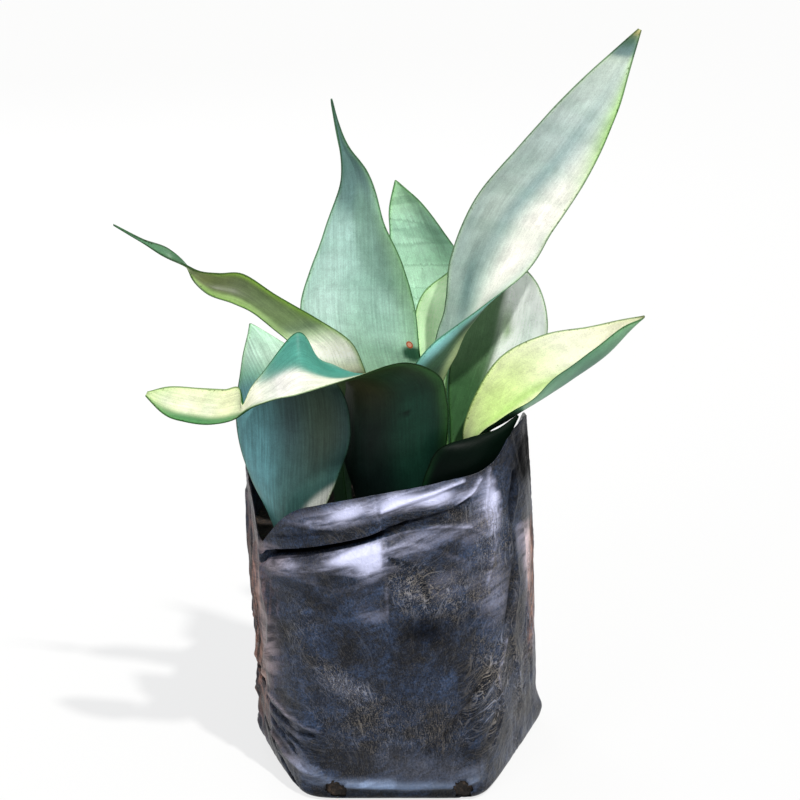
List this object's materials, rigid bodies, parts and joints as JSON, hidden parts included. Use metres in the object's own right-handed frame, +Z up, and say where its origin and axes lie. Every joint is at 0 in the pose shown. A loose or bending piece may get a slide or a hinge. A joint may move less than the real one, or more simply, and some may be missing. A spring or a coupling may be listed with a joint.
{
  "type": "potted snake plant",
  "caption": "Young snake plant with broad twisting silvery-green leaves that rise and arch from dark soil in a black film grow bag with a folded rim and a flat base.",
  "frame": {"origin": "middle of the bag's flat base, on the surface that it stands on", "axes": "+X to the right of the pictured front, +Y away from the viewer, +Z up"},
  "size_m": [0.2834, 0.1708, 0.4091],
  "materials": {
    "silver_leaf": "waxy satin leaf skin",
    "yellow_green_leaf": "waxy satin leaf skin",
    "olive_leaf": "waxy satin leaf skin",
    "dark_leaf": "waxy satin leaf skin",
    "black_film": "thin glossy film with dust",
    "potting_soil": "matt crumbly soil"
  },
  "bodies": {
    "root": {"leaf_a": "silver_leaf", "leaf_b": "silver_leaf", "leaf_c": "yellow_green_leaf", "leaf_d": "dark_leaf", "leaf_e": "dark_leaf", "leaf_f": "olive_leaf", "leaf_h": "dark_leaf", "leaf_j": "silver_leaf", "leaf_k": "silver_leaf", "leaf_l": "silver_leaf", "grow_bag": "black_film", "soil": "potting_soil"}
  },
  "joints": []
}
